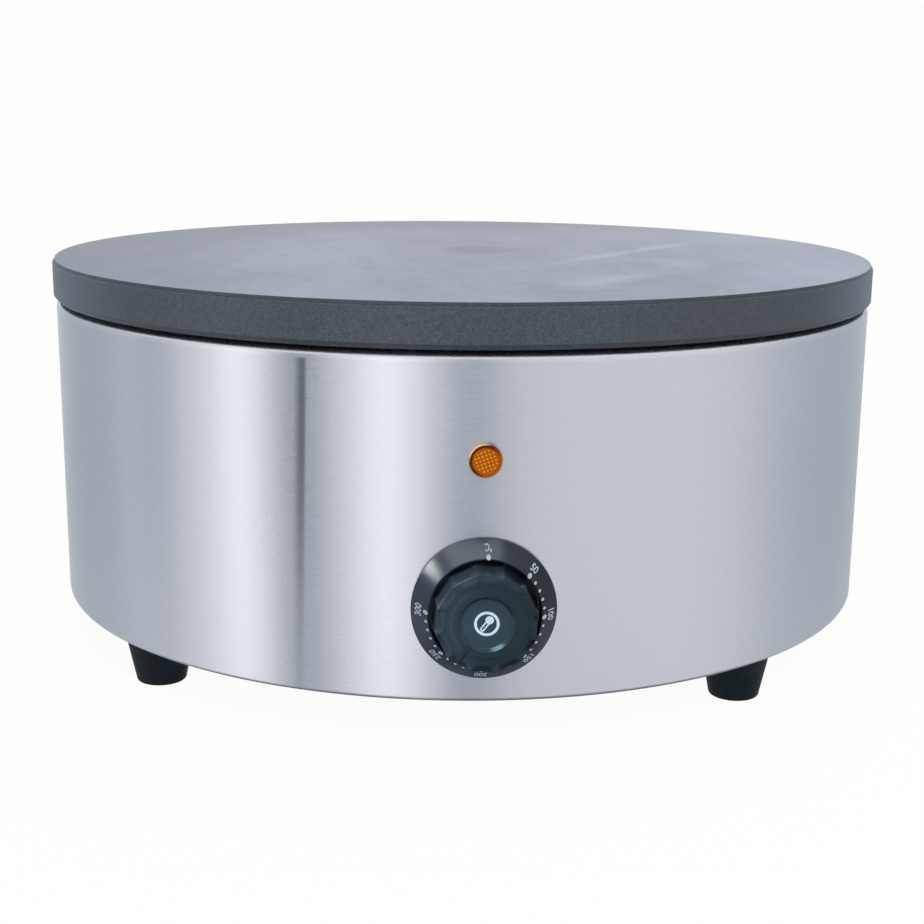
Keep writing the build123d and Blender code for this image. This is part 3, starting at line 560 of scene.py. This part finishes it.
foot_rubber = mottled("foot_rubber", (0.004, 0.010, 0.014), (0.010, 0.018, 0.024),
                      60, 0.50, 0.00006, specular=0.15)
foot_section = rounded(
    (recess_radius, recess_depth), (recess_radius, 0.0, 0.4), (sole_radius, 0.0, 1.2),
    (foot_top_radius - 0.4, drum_low - 1.8, 0.4), (foot_top_radius, drum_low, 0.2),
    (screw_hole, drum_low), (screw_hole, recess_depth),
)
for name, bearing in foot_bearings.items():
    where = Matrix.Rotation(radians(bearing), 4, "Z") @ Matrix.Translation((foot_circle, 0, 0))
    fit(turned(name + "_rubber", foot_section), foot_rubber, "foot_rubber", name, place=where)
dress(zinc, "foot_washers", "foot_nuts")
foot_screws = cross_head_screws(
    "foot_cross_screws", head_radius=4.75, head_height=3.2, shank=2.5,
    low=4.8, tip=28.2, circle=foot_circle, first_bearing=foot_bearings["foot_front_left"],
)
fit(foot_screws, zinc, "zinc_steel", "foot_screws")

# ---- Thermostat --------------------------------------------------------------
# A black moulded switch block on a steel yoke, with brass blades for its leads.
# A spring clip holds the knob on its spindle.

housing = mottled("moulded_black", (0.020, 0.021, 0.022), (0.034, 0.035, 0.037),
                  140, 0.46, 0.00005)
dress(housing, "thermostat_body")
dress(sheet_steel, "thermostat_yoke")
dress(brass, "thermostat_blades")
dress(zinc, "thermostat_screws", "thermostat_spindle")
dress(spring_steel, "knob_clip")

# ---- Dial --------------------------------------------------------------------
# A conical ring of glossy black plastic round the knob's well. Its white scale
# is pad-printed straight onto the cone, so it is drawn flat and laid onto it.

dial_height = 59.8
dial_place = Matrix.Translation((0, -drum_radius, dial_height)) @ Matrix.Rotation(pi / 2, 4, "X")
dial_back = 0.2                # these heights count outwards from the drum
dial_edge = 1.0
dial_crest = 8.7
well_floor = 2.2
dial_radius = 29.1
dial_crest_radius = 22.9
well_radius = 22.2
bore_radius = 6.0
cone_slope = (dial_crest - dial_edge) / (dial_radius - dial_crest_radius)

zero_bearing = 2.7             # degrees clockwise from the top
number_count = 6
number_pitch = 45.0            # degrees for 50 on the scale
number_circle = 26.3
number_height = 2.55
mark_circle = 23.4
marks_per_number = 5
print_lift = 0.03              # of the print's middle over the cone

dial_plastic, black, place = new_material("dial_plastic")
spark_grain = black.noise(place, 2600.0, 1.0)
moulding = black.noise(place, 70.0, 2.0)
east = black.parts(place)[0]
# Painted shade: the dial is darker towards the right and lighter and bluer towards the left.
painted_shade_right = black.step(moulding * 0.02 + east, -0.006, 0.034)
black.surface(
    Base_Color=black.mix(painted_shade_right, (0.014, 0.026, 0.044, 1), (0.001, 0.006, 0.010, 1)),
    Specular_IOR_Level=0.36,
    Roughness=0.14 + 0.16 * spark_grain,
    Normal=black.bump(spark_grain, 0.00003, 0.6),
)
dial_mesh = turned("dial_ring", rounded(
    (bore_radius, dial_back), (dial_radius, dial_back, 0.15), (dial_radius, dial_edge, 0.3),
    (dial_crest_radius, dial_crest, 0.25), (well_radius, dial_crest, 0.2),
    (well_radius, well_floor, 0.3), (bore_radius, well_floor),
), 192)
fit(dial_mesh, dial_plastic, "dial_plastic", "control_bezel", place=dial_place)

scale_print = mottled("scale_print", (0.42, 0.50, 0.60), (0.52, 0.60, 0.70), 300, 0.5, 0.00001)


def on_cone(reach):
    """Height of the print at a distance from the dial's axis."""
    return dial_edge + print_lift + (dial_radius - reach) * cone_slope


def lettering(words, height, squeeze):
    """A flat mesh of words about their own middle."""
    curve = bpy.data.curves.new(words, "FONT")
    curve.body = words
    curve.extrude = 0.012
    curve.offset = 0.018
    curve.resolution_u = 4
    mesh = evaluated(bpy.data.objects.new(words, curve))
    low, high = (Vector(f(v.co[i] for v in mesh.vertices) for i in range(3)) for f in (min, max))
    size = height / (high.y - low.y)
    centred = Matrix.Translation(-(low + high) / 2)
    mesh.transform(Matrix.Diagonal((size * squeeze, size, 1, 1)) @ centred)
    return mesh


words = {number_pitch * i: str(50 * i) for i in range(1, number_count + 1)}
words[0.0] = "°C"
numbers = bmesh.new()
for turn, word in words.items():
    way_up, squeeze = (-1, 0.8) if word == "°C" else (1, 1.0)
    written = lettering(word, number_height, squeeze)
    for vertex in written.vertices:
        along, up, out = vertex.co
        reach = number_circle + way_up * up
        bearing = radians(zero_bearing + turn) + way_up * along / number_circle
        vertex.co = (reach * sin(bearing), reach * cos(bearing), on_cone(reach) + out)
    numbers.from_mesh(written)
fit(finished(numbers, "dial_numbers"), scale_print, "dial_plastic", place=dial_place)

marks = Recipe("dial_marks", Circle=mark_circle, Zero=radians(zero_bearing),
               Small=0.58, Large=0.92)
index = marks.add("GeometryNodeInputIndex")
bearing = marks.given("Zero") + index * radians(number_pitch / marks_per_number)
spot = marks.vector(marks.given("Circle") * bearing.math("SINE"),
                    marks.given("Circle") * bearing.math("COSINE"))
mark_count = number_count * marks_per_number + 1
points = marks.add("GeometryNodePoints", None, {"Count": mark_count, "Position": spot})
numbered = index.math("MODULO", marks_per_number).math("COMPARE", 0.0, 0.1)
points = marks.add("GeometryNodeStoreNamedAttribute", {"data_type": "FLOAT", "domain": "POINT"},
                   {"Geometry": points, "Name": "numbered", "Value": numbered})
below_first_number = index.math("COMPARE", 2.5, 1.6)  # marks 1 to 4
points = marks.add("GeometryNodeDeleteGeometry", {"domain": "POINT"},
                   {"Geometry": points, "Selection": below_first_number})
was_numbered = marks.add("GeometryNodeInputNamedAttribute", {"data_type": "FLOAT"},
                         {"Name": "numbered"})
across = marks.given("Small") + was_numbered * (marks.given("Large") - marks.given("Small"))
dot = marks.add("GeometryNodeMeshCylinder", None, {"Vertices": 24, "Radius": 1.0, "Depth": 0.024})
dots = marks.add("GeometryNodeInstanceOnPoints", None,
                 {"Points": points, "Instance": dot, "Scale": marks.vector(across, across, 1.0)})
dots = marks.add("GeometryNodeRealizeInstances", None, {0: dots})
where = marks.add("GeometryNodeInputPosition")
reach = marks.add("ShaderNodeVectorMath", {"operation": "LENGTH"}, {0: where}, "Value")
dots = marks.add("GeometryNodeSetPosition", None,
                 {"Geometry": dots, "Offset": marks.vector(z=on_cone(reach))})
fit(marks.bake(dots, scale_print), scale_print, "dial_plastic", place=dial_place)

# ---- Knob --------------------------------------------------------------------
# Black plastic with twelve finger flutes that get shallower towards its face.
# A pointer notch breaks the edge, and a thermometer is printed in the dish.

knob_base = 3.2
knob_face = 20.5
knob_base_radius = 21.3
knob_face_radius = 20.1
knob_hollow_radius = 18.1
edge_rounding = 0.35
flat_radius = 16.2             # the flutes run out over the face, down to this radius
groove_radii = (15.6, 14.6)
dish_radius = 11.2
dish_depth = 1.4
dish_floor = knob_face - dish_depth
flutes = 12
cusp_bearing = 19.0
scoop_depth = 1.2
pointer_bearing = radians(217.0)
pointer_width = 2.4
pointer_depth = 2.1
pointer_slope = radians(8)

knob_plastic, black, place = new_material("knob_plastic")
spark_grain = black.noise(place, 1800.0, 1.0)
moulding = black.noise(place, 55.0, 3.0)
east, _, height = black.parts(place)
from_axis = distance(east, height - dial_height / 1000)
# Painted light: the dish is lighter and bluer than the face round it.
painted_dish_light = 1 - black.step(from_axis, 0.0092, 0.0104)
# Painted light and shade: the knob is lighter and bluer towards the left and darker towards the
# right.
painted_light_left = black.step(moulding * 0.02 - east, -0.014, 0.024)
painted_side_light_colour = black.mix(painted_light_left, (0.000, 0.003, 0.003, 1), (0.016, 0.024, 0.032, 1))
black.surface(
    Specular_IOR_Level=0.5,
    Specular_Tint=(0.50, 0.74, 0.92, 1),
    Base_Color=black.mix(painted_dish_light * 0.45, painted_side_light_colour, (0.042, 0.064, 0.092, 1)),
    Roughness=0.15 + 0.12 * moulding,
    Normal=black.bump(spark_grain * 0.4 + moulding * 0.6, 0.00005, 0.5),
)

side = [(knob_base_radius + (knob_face_radius - knob_base_radius) * i / 6,
         knob_base + (knob_face - 0.6 - knob_base) * i / 6) for i in range(7)]
edge = [(knob_face_radius - edge_rounding + edge_rounding * cos(radians(angle)),
         knob_face - edge_rounding + edge_rounding * sin(radians(angle)))
        for angle in (15, 30, 45, 60, 75, 90)]
face = [(radius, knob_face) for radius in (19.2, 18.4, 17.5, flat_radius)]
grooves = [(radius + off, knob_face - deep) for radius in groove_radii
           for off, deep in ((0.15, 0), (0, 0.07), (-0.15, 0))]
dish = [(dish_radius, knob_face, 0.15), (dish_radius - dish_depth, dish_floor, 0.35),
        (0, dish_floor)]
back = [(0, knob_base + 0.4), (knob_hollow_radius, knob_base + 0.4),
        (knob_hollow_radius, knob_base)]
knob_blank = turned("knob_blank", rounded(*side, *edge, *face, *grooves, *dish, *back), 360)

knob = Recipe("fluted_knob", Flutes=flutes, Cusp=radians(cusp_bearing), Deep=1.4, Shallow=0.55,
              Notch=pointer_width, Notch_depth=pointer_depth)
x, y, z = knob.parts(knob.add("GeometryNodeInputPosition"))
reach = distance(x, y).math("MAXIMUM", 0.001)
turn = (x.math("ARCTAN2", y) - knob.given("Cusp")) * knob.given("Flutes") / (2 * pi)
across = turn.math("FRACT") * 2 - 1
hollow = 1 - across * across
depth = knob.add("ShaderNodeMapRange", None, {
    "Value": z, "From Min": knob_base, "From Max": knob_face,
    "To Min": knob.given("Deep"), "To Max": knob.given("Shallow"),
})
taper = knob.add("ShaderNodeMapRange", None,
                 {"Value": reach, "From Min": flat_radius, "From Max": knob_face_radius - 0.2})
inwards = depth * hollow * taper / reach * -1
scooped = hollow * knob.step(reach, 16.8, knob_face_radius) * knob.step(z, 12.0, knob_face)
fluted = knob.add("GeometryNodeSetPosition", None, {
    "Geometry": knob.given("Geometry"),
    "Offset": knob.vector(x * inwards, y * inwards, scooped * -scoop_depth),
})
notch_size = knob.vector(knob.given("Notch"), knob_base_radius, knob.given("Notch_depth") * 2)
notch_middle = dish_radius - 1.0 + knob_base_radius / 2
notch = knob.add("GeometryNodeTransform", None, {
    "Geometry": knob.add("GeometryNodeMeshCube", None, {"Size": notch_size}),
    "Rotation": (-pointer_slope, 0, -pointer_bearing),
    "Translation": (notch_middle * sin(pointer_bearing), notch_middle * cos(pointer_bearing),
                    knob_face),
})
smooth = knob.add("GeometryNodeSetShadeSmooth", None,
                  {"Geometry": knob.cut(fluted, notch), "Shade Smooth": True})
fit(knob.bake(smooth, knob_plastic, knob_blank), knob_plastic, "knob_plastic", "control_knob",
    body="knob", place=dial_place)


def capsule(half_width, low, high, steps=16):
    """Outline of an upright bar with round ends."""
    angles = [pi * i / steps for i in range(steps + 1)]
    top = [(half_width * cos(angle), high + half_width * sin(angle)) for angle in angles]
    return top + [(-x, low - (y - high)) for x, y in top]


def flat_band(shape, outline, hole, low, thickness):
    """Adds the flat band between two outlines with as many points."""
    high = low + thickness
    rings = [[shape.verts.new((*point, z)) for point in line]
             for line, z in ((outline, low), (outline, high), (hole, high), (hole, low))]
    for ring, following in zip(rings, rings[1:] + rings[:1]):
        for i in range(len(ring)):
            shape.faces.new((ring[i], ring[i - 1], following[i - 1], following[i]))


icon_print = mottled("icon_print", (0.66, 0.82, 0.92), (0.72, 0.88, 0.98), 300, 0.5, 0.00001)
icon_low = dish_floor + 0.01
ink = 0.03
icon = bmesh.new()
flat_band(icon, capsule(4.95, 0, 0, 32), capsule(3.85, 0, 0, 32), icon_low, ink)
flat_band(icon, capsule(0.95, -2.7, 1.2), capsule(0.42, -2.6, 1.2), icon_low, ink)
flat_band(icon, capsule(1.65, 1.8, 1.8), capsule(0.02, 1.8, 1.8), icon_low, ink + 0.005)
for tick in (-2.3, -1.4, -0.5):
    flat_band(icon, capsule(0.16, tick, tick), capsule(0.01, tick, tick), icon_low, ink)
icon_mesh = finished(icon, "thermometer_print")
icon_mesh.transform(Matrix.Rotation(pi - pointer_bearing, 4, "Z"))
fit(icon_mesh, icon_print, "knob_plastic", body="knob", place=dial_place)

# ---- Pilot lamp --------------------------------------------------------------
# An amber lens with a plain rim round a field of small pyramids, which scatter
# the neon's light. Its barrel goes through the drum into a black lamp body.

lamp_height = 120.1
lamp_place = Matrix.Translation((0, -drum_radius, lamp_height)) @ Matrix.Rotation(pi / 2, 4, "X")
lens_radius = 6.65
lens_low = 0.1
lens_high = 3.1
field_radius = 5.5
field_sink = 0.7

amber, lens, place = new_material("amber_lens")
right, _, up = (part * 1000 for part in lens.parts(place))
up = up - lamp_height
radius = distance(right, up)
low_right = (right * 0.8 - up * 0.6) / radius
up_left = (up * 0.8 - right * 0.6) / radius
# Painted light: the rim is dark towards the upper left and orange towards the lower right, with a
# pale orange crescent at its lower right edge. The field inside is the lens's own amber.
glow = lens.mix(lens.step(low_right, -0.3, 0.9),
                (0.110, 0.012, 0.000, 1), (0.52, 0.095, 0.001, 1))
glow = lens.mix(lens.step(radius, 5.2, 5.6), (0.50, 0.130, 0.001, 1), glow)
glow = lens.mix(lens.step(radius, 6.0, 6.3) * lens.step(low_right, 0.5, 0.95),
                glow, (0.80, 0.30, 0.07, 1))
# Painted highlight: a cream crescent on the lens's upper left edge.
painted_edge_highlight = 0.9 * lens.step(radius, 6.3, 6.55) * lens.step(up_left, 0.50, 0.90)
lens.surface(
    Base_Color=lens.mix(painted_edge_highlight, glow, (0.88, 0.66, 0.38, 1)),
    Specular_IOR_Level=0.15,
    Roughness=0.08 + 0.08 * lens.noise(place, 420.0, 2.0),
)
lens_mesh = turned("lamp_lens_rim", rounded(
    (0, lens_low), (lens_radius, lens_low, 0.1), (lens_radius, lens_high, 0.9),
    (field_radius, lens_high, 0.15), (field_radius, lens_high - field_sink),
    (0, lens_high - field_sink),
), 96)
fit(lens_mesh, amber, "lens_amber", "lamp_lens", place=lamp_place)

amber_field, lens, place = new_material("amber_field")
out = lens.parts(place)[1] * -1000 - drum_radius
flecks = lens.noise(place, 900.0, 2.0)
# Painted highlight: the pyramids are pale orange at their tips and deep amber lower down.
painted_peak_highlights = lens.step(out + flecks * 0.3, lens_high - 0.30, lens_high + 0.08)
lens.surface(
    Base_Color=lens.mix(painted_peak_highlights, (0.56, 0.150, 0.001, 1), (1.0, 0.56, 0.13, 1)),
    Specular_IOR_Level=0.03,
    Roughness=0.25 + 0.1 * flecks,
)
pyramids = Recipe("lamp_pyramids", Pitch=1.47, Turn=radians(20), Height=0.62, Field=5.05)
grid_size = pyramids.given("Pitch") * 7
grid = pyramids.add("GeometryNodeMeshGrid", None, {
    "Size X": grid_size, "Size Y": grid_size, "Vertices X": 8, "Vertices Y": 8,
})
where = pyramids.add("GeometryNodeInputPosition")
reach = pyramids.add("ShaderNodeVectorMath", {"operation": "LENGTH"}, {0: where}, "Value")
outside = reach.math("GREATER_THAN", pyramids.given("Field"))
grid = pyramids.add("GeometryNodeDeleteGeometry", {"domain": "POINT"},
                    {"Geometry": grid, "Selection": outside})
pyramid = pyramids.add("GeometryNodeMeshCone", None, {
    "Vertices": 4, "Radius Top": 0.12, "Radius Bottom": pyramids.given("Pitch") / 1.46,
    "Depth": pyramids.given("Height"),
})
field = pyramids.add("GeometryNodeInstanceOnPoints", None,
                     {"Points": grid, "Instance": pyramid, "Rotation": (0, 0, pi / 4)})
field = pyramids.add("GeometryNodeTransform", None, {
    "Geometry": field, "Rotation": pyramids.vector(z=pyramids.given("Turn")),
    "Translation": (0, 0, lens_high - field_sink - 0.02),
})
fit(pyramids.bake(field, amber_field), amber_field, "lens_amber", place=lamp_place)
dress(housing, "lamp_body", "lamp_nut")
dress(brass, "lamp_pins")

# ---- Cable gland -------------------------------------------------------------
# A black nylon gland at the back: a hexagon against a rubber washer, and a
# ribbed dome nut that squeezes the rubber bush round the mains cable.

gland_height = 58.0
gland_place = (Matrix.Translation((0, drum_radius, gland_height))
               @ Matrix.Rotation(-pi / 2, 4, "X"))
nut_low = 7.5
nut_shoulder = 14.6
nut_high = 20.5
nut_radius = 9.3
thread_radius = 7.5
cable_hole = 5.4
rib_count = 24

nylon = mottled("black_nylon", (0.022, 0.023, 0.025), (0.036, 0.037, 0.040), 160, 0.38, 0.00005)
seal_rubber = mottled("seal_rubber", (0.014, 0.014, 0.015), (0.026, 0.026, 0.027),
                      150, 0.60, 0.00006)
dome_nut = turned("gland_dome_nut", rounded(
    (thread_radius, nut_low), (nut_radius, nut_low, 0.3), (nut_radius, nut_high, 2.4),
    (cable_hole, nut_high, 0.4), (cable_hole, nut_shoulder), (thread_radius, nut_shoulder),
), 96)
ribs = Recipe("gland_ribs", Ribs=float(rib_count), Circle=nut_radius - 0.05, Long=9.0)
index = ribs.add("GeometryNodeInputIndex")
bearing = index * (2 * pi) / ribs.given("Ribs")
spot = ribs.vector(ribs.given("Circle") * bearing.math("COSINE"),
                   ribs.given("Circle") * bearing.math("SINE"), nut_low + 4.7)
points = ribs.add("GeometryNodePoints", None, {"Count": rib_count, "Position": spot})
rib = ribs.add("GeometryNodeMeshCylinder", None,
               {"Vertices": 12, "Radius": 0.52, "Depth": ribs.given("Long")})
ribbed = ribs.add("GeometryNodeInstanceOnPoints", None, {"Points": points, "Instance": rib})
ribbed_nut = bmesh.new()
for mesh in (dome_nut, ribs.bake(ribbed, nylon)):
    ribbed_nut.from_mesh(mesh)
fit(finished(ribbed_nut, "gland_ribbed_nut"), nylon, "gland_nylon", "gland_cap",
    place=gland_place)
dress(nylon, "gland_body", "gland_locknut")
dress(seal_rubber, "gland_seal", "gland_bush")

# ---- Terminal block and earth ------------------------------------------------
# A ceramic block with brass clamp screws and a zinc-plated earth stud, both on
# the base plate, where the mains cable's cores end.

dress(ceramic, "terminal_block")
dress(brass, "block_clamp_screws", "earth_tag")
dress(zinc, "block_screws", "earth_stud", "earth_nuts")

# ---- Leads -------------------------------------------------------------------
# Heat-proof leads in pale silicone sleeving join the terminal block, the
# thermostat, the elements, the lamp and the earth stud.

sleeving = mottled("silicone_sleeve", (0.66, 0.66, 0.63), (0.80, 0.80, 0.77),
                   130, 0.50, 0.00010)
dress(sleeving, "live_lead", "neutral_lead", "heater_lead", "heater_links", "earth_lead",
      "lamp_leads")

# ---- Studio ------------------------------------------------------------------
# A white sweep under plain soft light. Upright panels of light and shade stand
# round it, which the brushed drum shows as its vertical bands. Softboxes give
# the black plastics their highlights.

room_light = 0.512
rear_light = 0.303
rear_half_width = 21.1         # degrees
panels = (                     # bearing from the front, half width, light, share lost at the floor
    (-92.4, 9.0, -0.333, 0.3),
    (-84.4, 20.8, 0.426, 0.0),
    (-63.2, 6.8, 0.615, 0.0),
    (-46.1, 4.0, -0.334, 0.7),
    (-23.1, 12.8, 0.593, 0.0),
    (-23.0, 2.9, 0.273, 0.0),
    (-0.7, 7.2, -0.226, 0.0),
    (43.8, 46.6, 0.356, 0.0),
)

world = bpy.data.worlds.new("studio")
scene.world = world
world.use_nodes = True
studio = Graph(world.node_tree)
ray_x, ray_y, ray_z = studio.parts(studio.add("ShaderNodeTexCoord", output="Generated"))
bearing = ray_x.math("ARCTAN2", ray_y * -1.0) * (180 / pi)
below = ray_z * -1
low = studio.step(below, 0.24, 0.36)
from_rear = bearing.math("ABSOLUTE") - 180
light = room_light + rear_light / (1 + (from_rear / rear_half_width) ** 4)
for middle, half_width, strength, lost in panels:
    light = light + strength * (1 - lost * low) / (1 + ((bearing - middle) / half_width) ** 4)
# Overhead the light is even. Downwards it is the floor's, which brightens at
# first and then darkens under the drum.
light = light + (1.0 - light) * studio.step(ray_z, 0.25, 0.60)
light = light * (1 + 0.22 * studio.step(below, 0.22, 0.42))
light = light * (1 - 0.75 * studio.step(below, 0.50, 0.80))
light = light * (1.05 - 0.08 * studio.step(below, 0.14, 0.24))
tint = studio.mix(studio.step(light, 0.4, 1.1), (0.90, 1.0, 1.06, 1), (1.01, 1.0, 0.99, 1))
white = (0.991, 0.991, 0.973, 1.0)
sees = studio.add("ShaderNodeLightPath", output="Is Camera Ray")
shines = studio.add("ShaderNodeLightPath", output="Is Glossy Ray")
plain = studio.add("ShaderNodeBackground", None, {"Color": (0.97, 0.98, 1.0, 1), "Strength": 0.62})
backdrop = studio.add("ShaderNodeBackground", None, {"Color": white, "Strength": 1.0})
round_about = studio.add("ShaderNodeBackground", None, {"Color": tint, "Strength": light})
lit = studio.add("ShaderNodeMixShader", None, {0: shines, 1: plain, 2: round_about})
seen = studio.add("ShaderNodeMixShader", None, {0: sees, 1: lit, 2: backdrop})
studio.add("ShaderNodeOutputWorld", None, {"Surface": seen})

floor_material, sweep, _ = new_material("white_sweep")
looks = sweep.add("ShaderNodeLightPath", output="Is Camera Ray")
paper = sweep.add("ShaderNodeBsdfDiffuse", None, {"Color": (0.86, 0.86, 0.855, 1)})
glow = sweep.add("ShaderNodeEmission", None, {"Color": white, "Strength": 1.028})
sheet = sweep.add("ShaderNodeMixShader", None, {0: looks * 0.94, 1: paper, 2: glow})
sweep.add("ShaderNodeOutputMaterial", None, {"Surface": sheet})
floor_shape = bmesh.new()
bmesh.ops.create_grid(floor_shape, size=6.0)
floor_mesh = finished(floor_shape, "floor")
floor_mesh.materials.append(floor_material)
floor = bpy.data.objects.new("floor", floor_mesh)
floor.visible_glossy = False
scene.collection.objects.link(floor)


def softbox(name, bearing, rise, reach, size, power, *lit):
    """Square lamp aimed at the object, or one that lights only some pieces.

    The bearing, from the front, and the rise are in degrees, the rest in metres
    and watts.
    """
    lamp = bpy.data.lights.new(name, "AREA")
    lamp.size = size
    lamp.energy = power
    head = bpy.data.objects.new(name, lamp)
    head.matrix_world = (
        Matrix.Translation((0, 0, 0.09))
        @ Matrix.Rotation(radians(bearing), 4, "Z")
        @ Matrix.Rotation(pi / 2 - radians(rise), 4, "X")
        @ Matrix.Translation((0, 0, reach))
    )
    scene.collection.objects.link(head)
    if lit:
        lit_pieces = bpy.data.collections.new(name + "_lights")
        for piece in lit:
            lit_pieces.objects.link(bpy.data.objects[piece])
        head.light_linking.receiver_collection = lit_pieces
    return head


softbox("left_box", -88, 27, 2.2, 0.45, 15, "dial_ring", "fluted_knob", "lamp_lens_rim")
softbox("rear_box", -125, 12, 2.2, 0.8, 16, "dial_ring", "fluted_knob")
softbox("flute_box", -115, 24, 2.2, 0.7, 40, "fluted_knob")
softbox("top_box", -70, 78, 2.2, 2.6, 60, "dial_ring")
softbox("high_box", -57, 56, 2.2, 1.4, 60, "fluted_knob")
softbox("front_box", 20, 35, 2.6, 1.4, 20).visible_glossy = False
